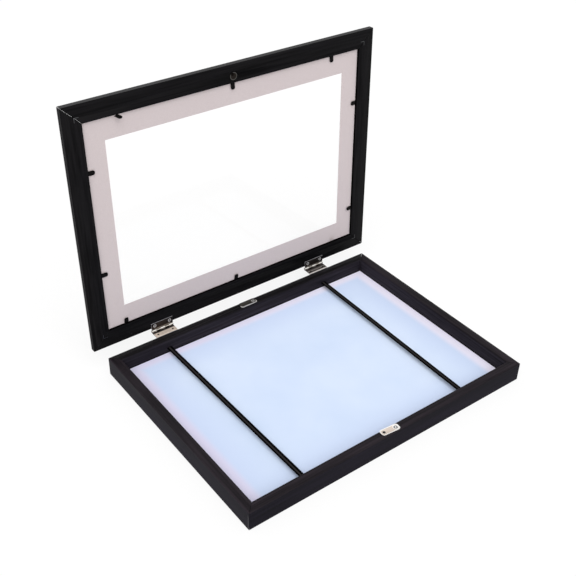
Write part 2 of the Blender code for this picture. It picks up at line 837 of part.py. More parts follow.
def make_tabs(door, door_origin):
    """Bendable tabs, each on an empty at its bend line, that hold the mat and the pane in the door."""
    sides = (
        ("free", free_tab_shares, free_tab_bends, free_tab_slants, opening_half_length, opening_half_width),
        ("right", right_tab_shares, right_tab_bends, right_tab_slants, opening_half_width, opening_half_length),
        ("hinge", hinge_tab_shares, hinge_tab_bends, hinge_tab_slants, opening_half_length, opening_half_width),
        ("left", left_tab_shares, left_tab_bends, left_tab_slants, opening_half_width, opening_half_length),
    )
    for turns, (side, shares, bends, slants, half_run, half_across) in enumerate(sides):
        quarter = Matrix.Rotation(turns * math.pi / 2, 4, "Z")
        around = 1 if turns < 2 else -1
        for number, (share, bend, slant) in enumerate(zip(shares, bends, slants), 1):
            name = "tab_{}_{}".format(side, number)
            pivot = quarter @ Matrix.Translation(
                (around * share * half_run, seat_gap - half_across, inner_face + tab_depth))
            turned = pivot @ Matrix.Rotation(-math.radians(bend), 4, "X")
            empty = make_empty(name + "_bend_line", door, pivot.translation - door_origin, turned.to_euler())
            bm = dished_plate(tab_outline(), tab_thickness, tab_rib_side, -tab_rib)
            rib_down = Matrix.Rotation(math.pi, 4, "Y") @ Matrix.Translation((0, 0, -tab_thickness / 2))
            bmesh.ops.transform(bm, matrix=rib_down, verts=bm.verts)
            step_in = tab_width / 2 * math.sin(abs(math.radians(slant)))
            make_object(name, bm, SPRING_STEEL, empty, (0, step_in, 0), (0, 0, math.radians(slant)))


def make_door(base, tray_rails):
    door_origin = Vector((0, hinge_y, hinge_z))
    door = make_empty("door_hinge_axis", base, door_origin, (-open_turn, 0, 0))
    rails = make_rails(
        ("door_rail_free", "door_rail_right", "door_rail_hinge", "door_rail_left"),
        door_profile(), door_half_length, door_half_width, door, -door_origin,
    )
    make_corner_nails(door, door_origin, rails)
    make_glazing(door, -door_origin)
    make_tabs(door, door_origin)
    make_magnet(door, -door_origin, rails[0])
    make_hinge("left", left_hinge_place, base, door, -door_origin, tray_rails[2], rails[2])
    make_hinge("right", right_hinge_place, base, door, -door_origin, tray_rails[2], rails[2])


clear_scene()
WOOD = make_material("black_wood", (0.016, 0.015, 0.018), 0.45)
BOARD = make_material("back_board", (0.30, 0.20, 0.12), 0.8)
LINER = make_material("liner_blue", (0.66, 0.78, 0.94), 0.6)
ELASTIC = make_material("elastic_black", (0.02, 0.02, 0.02), 0.9)
NICKEL = make_material("nickel", (0.72, 0.68, 0.62), 0.25, 1.0)
STEEL = make_material("plain_steel", (0.55, 0.55, 0.56), 0.35, 1.0)
MAGNET = make_material("magnet_nickel", (0.45, 0.42, 0.38), 0.3, 1.0)
SPRING_STEEL = make_material("black_spring_steel", (0.02, 0.018, 0.018), 0.4, 0.6)
CLEAR = make_material("clear_acrylic", (0.95, 0.97, 0.98), 0.03, 0.0, 0.2)
MAT = make_material("mat_paper", (0.62, 0.56, 0.56), 0.85)
SCREW = screw_mesh()
frame_base = make_empty("frame_base", None, (0, -frame_middle(), 0))
make_door(frame_base, make_tray(frame_base))
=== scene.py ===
"""Looks of the front-opening frame for children's art.

Satin black wood, pale card, black elastic, nickel and a clear pane. Lengths are in metres, and
colours are linear red, green and blue.
"""
import math

import bmesh
import bpy
from mathutils import Matrix, Quaternion, Vector


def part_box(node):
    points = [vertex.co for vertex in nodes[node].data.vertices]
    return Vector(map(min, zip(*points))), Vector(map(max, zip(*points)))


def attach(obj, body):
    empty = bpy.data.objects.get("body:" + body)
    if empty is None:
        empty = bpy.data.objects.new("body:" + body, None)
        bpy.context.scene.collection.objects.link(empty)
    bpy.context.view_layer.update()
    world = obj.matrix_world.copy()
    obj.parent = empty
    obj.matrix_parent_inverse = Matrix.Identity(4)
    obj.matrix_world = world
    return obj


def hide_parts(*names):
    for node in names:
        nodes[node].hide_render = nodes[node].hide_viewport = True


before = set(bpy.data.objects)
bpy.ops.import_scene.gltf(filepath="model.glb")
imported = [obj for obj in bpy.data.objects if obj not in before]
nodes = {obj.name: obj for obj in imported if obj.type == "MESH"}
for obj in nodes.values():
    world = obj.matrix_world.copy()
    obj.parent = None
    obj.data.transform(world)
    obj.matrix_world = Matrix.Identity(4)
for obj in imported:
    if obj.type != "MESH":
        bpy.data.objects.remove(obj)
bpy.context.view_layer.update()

TRAY = "tray"
DOOR = "door"

# Softened edges: how far, in how many steps, and the shortest edge that is softened
WOOD_EDGES = (0.00016, 3, 0.02)
LEAF_EDGES = (0.00010, 2, 0.003)
DISC_EDGES = (0.00010, 2, 0.0001)
PLATE_EDGES = (0.00006, 2, 0.0001)

# Angles between two faces: merged below the first, shaded as one below the second, and the
# edge between them softened above the third
FLAT_TURN = math.radians(0.5)
SMOOTH_TURN = math.radians(35)
SHARP_TURN = math.radians(60)
MERGE_DISTANCE = 1e-6

# A rail's face looks along an axis when more than this of its normal does
FACING = 0.5
# Pressed sheet: a face is level when its normal's Z is above the first of these, and upright
# when it is below the second; it looks to the front when its normal's Y is below the third
LEVEL, UPRIGHT, FRONTWARD = 0.7, 0.3, -0.9

# Most values of a noise lie between these two
NOISE_RANGE = (0.3, 0.7)

# Grain of the wood: noise across and along it in cells per metre, its detail and roughness
FINE_GRAIN = (520, 14, 5.0, 0.6)
BROAD_GRAIN = (60, 5, 3.0, 0.5)
FINE_SHARE = 0.6
GRAIN_RANGE = (0.41, 0.60)
SATIN_RANGE = (0.38, 0.54)

# Each kind of face: darkest and palest tone of its grain, and its specular level. These are lit and
# shaded copies of the one black paint, toned for how light falls on each kind of face: the door's
# lengthwise edges carry a painted highlight, and the rear top and the rebate painted shade
TRAY_TOP = ((0.0085, 0.0068, 0.0088), (0.024, 0.0190, 0.0240), 0.07)
REAR_TOP_SHADE = ((0.0045, 0.0040, 0.0048), (0.0130, 0.0115, 0.0135), 0.06)
OUTER_WALL = ((0.0044, 0.0037, 0.0067), (0.0115, 0.0097, 0.0168), 0.03)
INNER_WALL = ((0.0100, 0.0085, 0.0120), (0.026, 0.0225, 0.0300), 0.05)
DOOR_FACE = ((0.0040, 0.0038, 0.0042), (0.0105, 0.0099, 0.0108), 0.02)
DOOR_EDGE_HIGHLIGHT = ((0.020, 0.020, 0.0205), (0.042, 0.0415, 0.043), 0.05)
DOOR_END = ((0.0040, 0.0038, 0.0042), (0.0085, 0.0068, 0.0088), 0.03)
REBATE_SHADE = ((0.0010, 0.0006, 0.0007), (0.0022, 0.0014, 0.0016), 0.0)

# Painted shade where the liner meets the inner walls, a dark contact shadow along their foot:
# full below the first height, gone at the second
CARD_SHADE_HEIGHTS = (0.0049, 0.0062)
CARD_SHADE_TONE = (0.0008, 0.0007, 0.0009)

# Paler strip on the tray's near corner: its width, the heights between which it fades, its tone
PALE_CORNER_WIDTH = 0.0026
PALE_CORNER_TOP = (0.013, 0.0185)
PALE_CORNER_TONE = (0.060, 0.057, 0.064)

# Liner: its blue field's middle and half sizes
FIELD_CENTRE = (0.0030, -0.0133, 0.0)
FIELD_HALF = (0.1375, 0.1008)

# Elastic: pitch of its ribs and cords, and how far a strap's ends are apart sideways
RIB_PITCH, CORD_PITCH = 0.0007, 0.0008
STRAP_DRIFT = 0.0033

# Hinges: middle of a shelf's holes from its flange, and the dark discs of painted shade that fill
# them
SHELF_HOLE_REACH = 0.003625
HOLE_SHADE_RADIUS, HOLE_SHADE_HEIGHT = 0.00095, 0.0004
# How far the curl reaches from the pin's middle, and the shelf stays clear of the pin
CURL_REACH, PIN_CLEARANCE = 0.0019, 0.0010
# Heights above the pin between which the upper leaf's face carries its painted highlight band
LEAF_FACE = (0.0012, 0.0036)
# The shelf's holes are farther than this from its edges, and no deeper than this
HOLE_MARGIN, HOLE_DEPTH = 0.0009, 0.003

# A plate's pressed field lies at least this far below its rim
FIELD_DROP = 0.0002

# Painted shade on bare metal, in seams and holes, and in a screw's recess
SEAM_SHADE = (0.012, 0.008, 0.007)
HOLLOW_SHADE = (0.012, 0.009, 0.008)
RECESS_SHADE = (0.006, 0.0045, 0.004)


def finish_of(name, roughness, metallic=0.0, specular=0.5):
    """New material with its tree and shader, and the object coordinates its pattern reads."""
    material = bpy.data.materials.new(name)
    material.use_nodes = True
    tree = material.node_tree
    shader = tree.nodes["Principled BSDF"]
    shader.inputs["Roughness"].default_value = roughness
    shader.inputs["Metallic"].default_value = metallic
    shader.inputs["Specular IOR Level"].default_value = specular
    coordinates = tree.nodes.new("ShaderNodeTexCoord").outputs["Object"]
    return material, tree, shader, coordinates


def placed(tree, coordinates, scale=(1, 1, 1), turn=0.0, centre=(0, 0, 0)):
    """Coordinates moved to a centre, turned about Z and stretched."""
    mapping = tree.nodes.new("ShaderNodeMapping")
    mapping.vector_type = "TEXTURE"
    mapping.inputs["Location"].default_value = centre
    mapping.inputs["Rotation"].default_value = (0, 0, turn)
    mapping.inputs["Scale"].default_value = tuple(1 / value for value in scale)
    tree.links.new(coordinates, mapping.inputs["Vector"])
    return mapping.outputs["Vector"]


def axes_of(tree, vector):
    """A vector's three values, by the names X, Y and Z."""
    parts = tree.nodes.new("ShaderNodeSeparateXYZ")
    tree.links.new(vector, parts.inputs["Vector"])
    return parts.outputs


def noise(tree, vector, scale, detail, roughness=0.55):
    """Grey clouds between 0 and 1."""
    texture = tree.nodes.new("ShaderNodeTexNoise")
    texture.inputs["Scale"].default_value = scale
    texture.inputs["Detail"].default_value = detail
    texture.inputs["Roughness"].default_value = roughness
    tree.links.new(vector, texture.inputs["Vector"])
    return texture.outputs["Fac"]


def ramp(tree, factor, stops):
    """Colours along a factor, from (place, colour) pairs."""
    node = tree.nodes.new("ShaderNodeValToRGB")
    elements = node.color_ramp.elements
    while len(elements) < len(stops):
        elements.new(0.5)
    for element, (place, color) in zip(elements, stops):
        element.position = place
        element.color = (*color, 1.0)
    tree.links.new(factor, node.inputs["Fac"])
    return node.outputs["Color"]


def ranged(tree, factor, low, high, to_low=0.0, to_high=1.0, smooth=False):
    """A value that goes from to_low to to_high as the factor goes from low to high."""
    node = tree.nodes.new("ShaderNodeMapRange")
    node.interpolation_type = "SMOOTHSTEP" if smooth else "LINEAR"
    limits = {"From Min": low, "From Max": high, "To Min": to_low, "To Max": to_high}
    for name, value in limits.items():
        node.inputs[name].default_value = value
    tree.links.new(factor, node.inputs["Value"])
    return node.outputs["Result"]


def fading(tree, factor, low, high):
    """1 below low, smoothly down to 0 at high."""
    return ranged(tree, factor, low, high, 1.0, 0.0, smooth=True)


def toned(tree, factor, low, high, stops):
    """Colours along a factor that runs from low to high; the stops' places run from 0 to 1."""
    return ramp(tree, ranged(tree, factor, low, high), stops)


def calculated(tree, operation, first, second=None):
    """Result of a math operation on sockets or numbers."""
    node = tree.nodes.new("ShaderNodeMath")
    node.operation = operation
    for socket, value in zip(node.inputs, (first, second)):
        if isinstance(value, (int, float)):
            socket.default_value = value
        elif value is not None:
            tree.links.new(value, socket)
    return node.outputs["Value"]


def mixed(tree, factor, first, second):
    """Mix of two colours, each a socket or a tuple."""
    node = tree.nodes.new("ShaderNodeMix")
    node.data_type = "RGBA"
    tree.links.new(factor, node.inputs["Factor"])
    inputs = [socket for socket in node.inputs if socket.type == "RGBA"]
    for socket, value in zip(inputs, (first, second)):
        if isinstance(value, tuple):
            socket.default_value = (*value, 1.0)
        else:
            tree.links.new(value, socket)
    return [socket for socket in node.outputs if socket.type == "RGBA"][0]


def raised(tree, shader, height, strength, distance):
    """Gives a shader bumps that follow a height."""
    bump = tree.nodes.new("ShaderNodeBump")
    bump.inputs["Strength"].default_value = strength
    bump.inputs["Distance"].default_value = distance
    tree.links.new(height, bump.inputs["Height"])
    tree.links.new(bump.outputs["Normal"], shader.inputs["Normal"])


def colored(tree, shader, color):
    """Gives a shader its colour from a socket."""
    tree.links.new(color, shader.inputs["Base Color"])


def middle_of(name):
    """Middle of a CAD node's box."""
    low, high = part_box(name)
    return (low + high) / 2


def linked(name, data):
    """New object in the scene."""
    item = bpy.data.objects.new(name, data)
    bpy.context.scene.collection.objects.link(item)
    return item


def black_wood(name, kind, along, foot=None, pale_corner_y=None):
    """Satin black paint over open grain that runs along one axis.

    The last two arguments give the two heights between which painted shade at the face's foot, a
    dark contact shadow, fades upward, and the two places between which a paler strip fades away
    from a corner.
    """
    *tones, specular = kind
    material, tree, shader, coordinates = finish_of(name, roughness=0.45, specular=specular)

    def grain(across, lengthwise, detail, roughness):
        cells = tuple(lengthwise if axis == along else across for axis in "XYZ")
        return noise(tree, placed(tree, coordinates, cells), 1.0, detail, roughness)

    fine, broad = grain(*FINE_GRAIN), grain(*BROAD_GRAIN)
    both = calculated(tree, "ADD", calculated(tree, "MULTIPLY", fine, FINE_SHARE),
                      calculated(tree, "MULTIPLY", broad, 1 - FINE_SHARE))
    color = ramp(tree, both, tuple(zip(GRAIN_RANGE, tones)))
    axes = axes_of(tree, coordinates)
    # Painted shade: a dark contact shadow at the foot of the inner walls
    if foot:
        color = mixed(tree, fading(tree, axes["Z"], *foot), color, CARD_SHADE_TONE)
    # A paler strip along the near corner, fading away from it and upward
    if pale_corner_y:
        pale_strip = calculated(tree, "MULTIPLY", fading(tree, axes["Y"], *pale_corner_y),
                            fading(tree, axes["Z"], *PALE_CORNER_TOP))
        color = mixed(tree, pale_strip, color, PALE_CORNER_TONE)
    colored(tree, shader, color)
    tree.links.new(ranged(tree, fine, *NOISE_RANGE, *SATIN_RANGE), shader.inputs["Roughness"])
    raised(tree, shader, fine, strength=0.25, distance=0.0002)
    return material


def nickel(name, color, roughness, metallic=1.0):
    """Bright plated steel with a faint drawn grain."""
    material, tree, shader, coordinates = finish_of(name, roughness, metallic=metallic)
    shader.inputs["Base Color"].default_value = (*color, 1.0)
    drawn_cells = (150, 1500, 1500)
    drawn = noise(tree, placed(tree, coordinates, drawn_cells), scale=1.0, detail=3.0)
    smoothest, roughest = roughness - 0.06, roughness + 0.08
    tree.links.new(ranged(tree, drawn, *NOISE_RANGE, smoothest, roughest),
                   shader.inputs["Roughness"])
    raised(tree, shader, drawn, strength=0.08, distance=0.00005)
    return material


def liner_card():
    """Pale blue sheet with painted shade near the walls: a soft lavender margin, darker at the left
    where the left wall's shadow is painted, and a field that darkens toward its edge.
    """
    deep_field, pale_field = (0.633, 0.746, 0.943), (0.683, 0.787, 0.969)
    field_edge_shade = (0.625, 0.730, 0.945)
    left_rim_shadow, right_rim_shade = (0.75, 0.73, 0.92), (0.863, 0.838, 0.985)
    # Distances beyond the field's edge between which painted shade darkens it, and it turns to the
    # painted shade of the rim
    edge_shade_run, turning = (-0.035, -0.002), (-0.004, 0.0045)
    rim_shade_run = (-0.13, 0.13)
    material, tree, shader, coordinates = finish_of("liner_card", roughness=0.6, specular=0.3)
    axes = axes_of(tree, placed(tree, coordinates, centre=FIELD_CENTRE))
    beyond = [calculated(tree, "SUBTRACT", calculated(tree, "ABSOLUTE", axes[axis]), half)
              for axis, half in zip("XY", FIELD_HALF)]
    margin = calculated(tree, "MAXIMUM", *beyond)
    clouds = noise(tree, coordinates, scale=14.0, detail=3.0)
    field = ramp(tree, clouds, ((0.35, deep_field), (0.65, pale_field)))
    # Painted shade darkening the field toward its edge
    shaded_near_edge = mixed(tree, ranged(tree, margin, *edge_shade_run, smooth=True), field, field_edge_shade)
    # Painted shade of the margin, darker at the left where the left wall's shadow is painted
    rim = mixed(tree, ranged(tree, axes["X"], *rim_shade_run), left_rim_shadow, right_rim_shade)
    color = mixed(tree, ranged(tree, margin, *turning, smooth=True), shaded_near_edge, rim)
    colored(tree, shader, color)
    return material


def fibrous(name, dark, pale, scale, detail, coarseness, roughness, specular, bump):
    """Board of short fibres; bump is a strength and a distance."""
    material, tree, shader, coordinates = finish_of(name, roughness, specular=specular)
    fibres = noise(tree, coordinates, scale, detail, coarseness)
    colored(tree, shader, ramp(tree, fibres, tuple(zip(NOISE_RANGE, (dark, pale)))))
    raised(tree, shader, fibres, *bump)
    return material


def woven_elastic(name, centre, turn):
    """Black braided elastic: cross ribs, and a paler line a little off its middle."""
    black, pale_line = (0.0006, 0.0006, 0.0008), (0.030, 0.027, 0.027)
    line_shift, line_range = 0.0005, (0.0002, 0.0012)
    material, tree, shader, coordinates = finish_of(name, roughness=0.8, specular=0.01)
    axes = axes_of(tree, placed(tree, coordinates, turn=turn, centre=centre))

    def wave(axis, pitch):
        turns = calculated(tree, "MULTIPLY", axes[axis], 2 * math.pi / pitch)
        return calculated(tree, "SINE", turns)

    aside = calculated(tree, "ABSOLUTE", calculated(tree, "ADD", axes["X"], line_shift))
    weave = calculated(tree, "MULTIPLY", wave("Y", RIB_PITCH), wave("X", CORD_PITCH))
    colored(tree, shader, mixed(tree, fading(tree, aside, *line_range), black, pale_line))
    raised(tree, shader, weave, strength=0.4, distance=0.0001)
    return material


def spring_steel():
    """Baked black finish of the bendable tabs, a little worn."""
    dark, pale = (0.0022, 0.0018, 0.0018), (0.006, 0.005, 0.005)
    material, tree, shader, coordinates = finish_of("blackened_spring_steel", roughness=0.5,
                                                    specular=0.06)
    worn = noise(tree, coordinates, scale=700.0, detail=3.0)
    colored(tree, shader, ramp(tree, worn, ((0.4, dark), (0.75, pale))))
    return material


def clear_pane():
    """Clear sheet that lets all but its reflection through."""
    head_on, edge_on = 0.006, 0.6
    material, tree, shader, _ = finish_of("clear_acrylic", roughness=0.02, metallic=1.0)
    shader.inputs["Base Color"].default_value = (1.0, 1.0, 1.0, 1.0)
    weight = tree.nodes.new("ShaderNodeLayerWeight")
    weight.inputs["Blend"].default_value = 0.5
    grazing = calculated(tree, "POWER", weight.outputs["Facing"], 5.0)
    tree.links.new(ranged(tree, grazing, 0.0, 1.0, head_on, edge_on), shader.inputs["Alpha"])
    return material


def smudged_and_shaded_plate(name, stops, low_y, high_y):
    """Plated steel with smudges from handling, and painted reflection and shade toned from one Y
    value to the other.
    """
    smudge, most = (0.10, 0.085, 0.075), 0.16
    material, tree, shader, coordinates = finish_of(name, roughness=0.5, metallic=0.3)
    tone = toned(tree, axes_of(tree, coordinates)["Y"], low_y, high_y, stops)
    smudges = noise(tree, coordinates, scale=420.0, detail=3.0)
    share = ranged(tree, smudges, 0.35, 0.65, 0.0, most)
    colored(tree, shader, mixed(tree, share, tone, smudge))
    return material


def pressed_face(low_z, high_z):
    """Face of a hinge's upper leaf, painted dark as a reflection of dark surroundings, with a
    painted highlight band where it turns to the curl.
    """
    dark, pale = (0.050, 0.041, 0.038), (0.36, 0.325, 0.29)
    stops = ((0.0, dark), (0.2, dark), (0.3, pale), (0.7, pale), (0.85, dark))
    material, tree, shader, coordinates = finish_of("hinge_leaf_face", roughness=0.34,
                                                    metallic=1.0)
    colored(tree, shader, toned(tree, axes_of(tree, coordinates)["Z"], low_z, high_z, stops))
    return material


def turned_finish(name, node, across, stops, roughness, metallic=1.0):
    """Metal toned outward from the middle of a round node.

    Stops are (radius, colour), and across names the two axes of its face.
    """
    material, tree, shader, coordinates = finish_of(name, roughness, metallic=metallic)
    axes = axes_of(tree, placed(tree, coordinates, centre=middle_of(node)))
    squares = [calculated(tree, "POWER", axes[axis], 2.0) for axis in across]
    radius = calculated(tree, "SQRT", calculated(tree, "ADD", *squares))
    reach = stops[-1][0]
    shares = [(place / reach, color) for place, color in stops]
    colored(tree, shader, toned(tree, radius, 0.0, reach, shares))
    return material


def curl_nickel(name, pale, dull, dark):
    """Nickel of a hinge's curl, toned round the pin.

    It carries a painted highlight in front and above, a dark band of painted reflection between
    them, and painted shade where it rolls under.
    """
    stops = ((0.44, dark), (0.465, pale), (0.535, pale), (0.565, dull), (0.59, dull), (0.62, pale),
             (0.80, pale))
    material, tree, shader, coordinates = finish_of(name, roughness=0.2, metallic=1.0)
    axes = axes_of(tree, placed(tree, coordinates, centre=middle_of("left_hinge_pin")))
    forward = calculated(tree, "MULTIPLY", axes["Y"], -1.0)
    turn = calculated(tree, "ARCTAN2", axes["Z"], forward)
    colored(tree, shader, toned(tree, turn, -math.pi, math.pi, stops))
    return material


def dressed(name, material):
    """Gives a CAD node its finish."""
    item = nodes[name]
    item.data.materials.clear()
    item.data.materials.append(material)


def eased_copy(name, finishes, body, softening, finish_at=None):
    """Copy of a CAD node, merged, with its long sharp edges rounded; it stands for the node.

    finish_at gives a face's place among the finishes from its middle and its normal.
    """
    ease, segments, shortest = softening
    bm = bmesh.new()
    bm.from_mesh(nodes[name].data)
    bmesh.ops.remove_doubles(bm, verts=bm.verts, dist=MERGE_DISTANCE)
    bmesh.ops.dissolve_limit(bm, angle_limit=FLAT_TURN, verts=bm.verts, edges=bm.edges)
    sharp = [edge for edge in bm.edges
             if edge.is_manifold and edge.calc_face_angle() > SHARP_TURN
             and edge.calc_length() > shortest]
    bmesh.ops.bevel(bm, geom=sharp, offset=ease, offset_type="OFFSET", segments=segments,
                    profile=0.5, affect="EDGES", material=-1, clamp_overlap=True,
                    loop_slide=False)
    if finish_at:
        bm.normal_update()
        for face in bm.faces:
            face.material_index = finish_at(face.calc_center_median(), face.normal)
    mesh = bpy.data.meshes.new(name + "_eased")
    bm.to_mesh(mesh)
    bm.free()
    mesh.shade_smooth()
    mesh.set_sharp_from_angle(angle=SMOOTH_TURN)
    for finish in finishes:
        mesh.materials.append(finish)
    item = linked(name + "_eased", mesh)
    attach(item, body)
    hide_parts(name)


def make_rails():
    """Rails of both frames in lit and shaded copies of one black paint, one for each kind of face.

    The door's lengthwise edges carry a painted highlight, and the rear top and the rebate painted
    shade.
    """
    tops, walls, inners, faces = {}, {}, {}, {}
    for axis, way in (("X", "lengthwise"), ("Y", "endwise")):
        tops[axis] = black_wood("tray_wood_" + way, TRAY_TOP, axis)
        walls[axis] = black_wood("tray_wood_outside_" + way, OUTER_WALL, axis)
        inners[axis] = black_wood("tray_wood_inside_" + way, INNER_WALL, axis, foot=CARD_SHADE_HEIGHTS)
    for axis, way in (("X", "lengthwise"), ("Z", "upright")):
        faces[axis] = black_wood("door_wood_" + way, DOOR_FACE, axis)
    # Painted highlight: the door's lengthwise edges are toned paler than its faces
    edges = {"X": black_wood("door_edge_highlight_lengthwise", DOOR_EDGE_HIGHLIGHT, "X"),
             "Z": black_wood("door_edge_upright", DOOR_END, "Z")}
    # Painted shade: the rebate and the rear rail's top are toned darker
    rebate = black_wood("rebate_shade", REBATE_SHADE, "X")
    rear_top_shade = black_wood("tray_wood_rear_shade", REAR_TOP_SHADE, "X")
    front_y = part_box("tray_rail_front")[0].y
    left_wall = black_wood("tray_wood_outside_left", OUTER_WALL, "Y",
                           pale_corner_y=(front_y, front_y + PALE_CORNER_WIDTH))

    def tray_finish(middle, normal):
        """Top or bottom, outer wall, inner wall."""
        if abs(normal.z) > FACING:
            return 0
        return 1 if middle.x * normal.x + middle.y * normal.y > 0 else 2

    pane_z = middle_of("mat_board").z

    def door_finish(middle, normal):
        """Face, outer edge, rebate."""
        if abs(normal.y) >= FACING:
            return 0
        return 1 if middle.x * normal.x + (middle.z - pane_z) * normal.z > 0 else 2

    for name, axis in (("front", "X"), ("rear", "X"), ("left", "Y"), ("right", "Y")):
        top = rear_top_shade if name == "rear" else tops[axis]
        wall = left_wall if name == "left" else walls[axis]
        eased_copy("tray_rail_" + name, (top, wall, inners[axis]), TRAY,
                   WOOD_EDGES, tray_finish)
    for name, axis in (("free", "X"), ("hinge", "X"), ("left", "Z"), ("right", "Z")):
        eased_copy("door_rail_" + name, (faces[axis], edges[axis], rebate), DOOR,
                   WOOD_EDGES, door_finish)


def shade_shelf_holes(side, shelf_y, finish):
    """Dark discs of painted shade that fill the two holes of a hinge's shelf."""
    disc_y = shelf_y + SHELF_HOLE_REACH
    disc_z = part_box("tray_rail_rear")[1].z - HOLE_SHADE_HEIGHT
    bm = bmesh.new()
    for end in ("left", "right"):
        disc_x = middle_of(side + "_hinge_tray_screw_" + end).x
        place = Matrix.Translation((disc_x, disc_y, disc_z))
        bmesh.ops.create_cone(bm, cap_ends=True, segments=24, radius1=HOLE_SHADE_RADIUS,
                              radius2=HOLE_SHADE_RADIUS, depth=HOLE_SHADE_HEIGHT, matrix=place)
    mesh = bpy.data.meshes.new(side + "_hinge_shelf_hole_shade")
    bm.to_mesh(mesh)
    bm.free()
    mesh.materials.append(finish)
    item = linked(side + "_hinge_shelf_hole_shade", mesh)
    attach(item, TRAY)


def make_hinges():
    """Leaves with a pressed face painted dark as a reflection, rims paler as a painted highlight,
    and a curl toned round its pin with painted reflection and shade.
    """
    beige, grey, pale = (0.66, 0.56, 0.48), (0.17, 0.15, 0.14), (0.62, 0.58, 0.55)
    # Painted reflection and shade along each shelf, dark at the seam by the curl
    left_shelf_reflection = ((0.0, beige), (0.72, beige), (0.78, SEAM_SHADE), (1.0, SEAM_SHADE))
    right_shelf_reflection = ((0.0, pale), (0.14, pale), (0.22, SEAM_SHADE), (0.36, SEAM_SHADE), (0.44, grey),
                  (0.62, grey), (0.74, SEAM_SHADE))
    pin = middle_of("left_hinge_pin")
    shelf_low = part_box("left_hinge_lower_leaf")[0].y
    shelf_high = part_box("left_hinge_pin")[0].y - PIN_CLEARANCE
    shelves = {"left": smudged_and_shaded_plate("left_hinge_shelf", left_shelf_reflection, shelf_low, shelf_high),
               "right": smudged_and_shaded_plate("right_hinge_shelf", right_shelf_reflection, shelf_low, shelf_high)}
    # Painted highlight: the rims are a paler copy of the leaves' nickel
    rim = nickel("hinge_rim", (0.34, 0.33, 0.35), roughness=0.34, metallic=0.3)
    # Painted shade for the holes, the tail under the pin and the discs in the shelf's holes
    shade = nickel("hinge_shade", HOLLOW_SHADE, roughness=0.34)
    face = pressed_face(*(pin.z + height for height in LEAF_FACE))
    curl = curl_nickel("hinge_curl", (0.93, 0.90, 0.86), (0.16, 0.14, 0.125), HOLLOW_SHADE)

    def near_pin(middle):
        return math.hypot(middle.y - pin.y, middle.z - pin.z) < CURL_REACH

    def upper(middle, normal):
        """Curl, face, rim, shaded tail."""
        if near_pin(middle):
            return 0
        if middle.z < pin.z:
            return 3
        return 1 if normal.y < FRONTWARD else 2

    for side in ("left", "right"):
        leaf_low, leaf_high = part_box(side + "_hinge_lower_leaf")

        def lower(middle, normal):
            """Curl, shelf, rim, painted shade in the holes."""
            if near_pin(middle):
                return 0
            if normal.z > LEVEL:
                return 1
            in_hole = (leaf_low.x + HOLE_MARGIN < middle.x < leaf_high.x - HOLE_MARGIN
                       and leaf_low.y + HOLE_MARGIN < middle.y < shelf_high - HOLE_MARGIN
                       and middle.z > leaf_high.z - HOLE_DEPTH)
            return 3 if in_hole and abs(normal.z) < UPRIGHT else 2

        shade_shelf_holes(side, leaf_low.y, shade)
        eased_copy(side + "_hinge_upper_leaf", (curl, face, rim, shade), DOOR,
                   LEAF_EDGES, upper)
        eased_copy(side + "_hinge_lower_leaf", (curl, shelves[side], rim, shade), TRAY,
                   LEAF_EDGES, lower)


def make_plates():
    """Strike plate with a bright rim and a warm field, with painted shade in the right screw's
    countersink and a painted highlight ring round it; the rest plate across from it is toned
    darker, a dark field of painted reflection and a rim whose painted shade deepens to the rear.
    """
    white, warm, shade = (0.95, 0.94, 0.92), (0.66, 0.57, 0.50), (0.05, 0.045, 0.04)
    grey, black = (0.72, 0.69, 0.66), (0.004, 0.004, 0.004)
    # Painted shade round the right screw, then a painted highlight ring, then the warm field
    strike_stops = ((0.0, shade), (0.0018, shade), (0.0021, white), (0.0026, white),
                    (0.0030, warm), (0.0060, warm))
    strike_rim = nickel("strike_plate_rim", white, roughness=0.24)
    strike_field = turned_finish("strike_plate_field", "strike_plate_screw_right", "XY",
                                 strike_stops, roughness=0.5, metallic=0.3)
    low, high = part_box("rest_plate")
    # Painted shade deepening the rest plate's rim to the rear, and painted reflection in its dark
    # field
    rest_rim = smudged_and_shaded_plate("rest_plate_rim", ((0.0, grey), (0.3, grey), (0.5, black)), low.y, high.y)
    rest_field = nickel("rest_plate_field", (0.045, 0.041, 0.035), roughness=0.4, metallic=0.5)
    plates = {"strike_plate": (strike_rim, strike_field), "rest_plate": (rest_rim, rest_field)}
    for name, finishes in plates.items():
        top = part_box(name)[1].z

        def plate_finish(middle, normal):
            """Rim, field."""
            return 1 if normal.z > UPRIGHT and middle.z < top - FIELD_DROP else 0

        eased_copy(name, finishes, TRAY, PLATE_EDGES, plate_finish)


def make_magnet():
    """Disc painted dark as a reflection of dark surroundings, with a painted highlight ring inside
    its edge and a darker edge beyond it.
    """
    face, ring, edge = (0.019, 0.0155, 0.0135), (0.085, 0.082, 0.078), (0.0035, 0.0034, 0.0036)
    stops = ((0.0, face), (0.0029, face), (0.0032, ring), (0.0036, ring), (0.0039, edge),
             (0.0048, edge))
    finish = turned_finish("magnet_nickel", "magnet_disc", "XZ", stops, roughness=0.34)
    eased_copy("magnet_disc", (finish,), DOOR, DISC_EDGES)
    # The magnet's screw is painted all over with the dark of shade in its recess
    dressed("magnet_screw", nickel("magnet_screw_nickel", RECESS_SHADE, roughness=0.34))


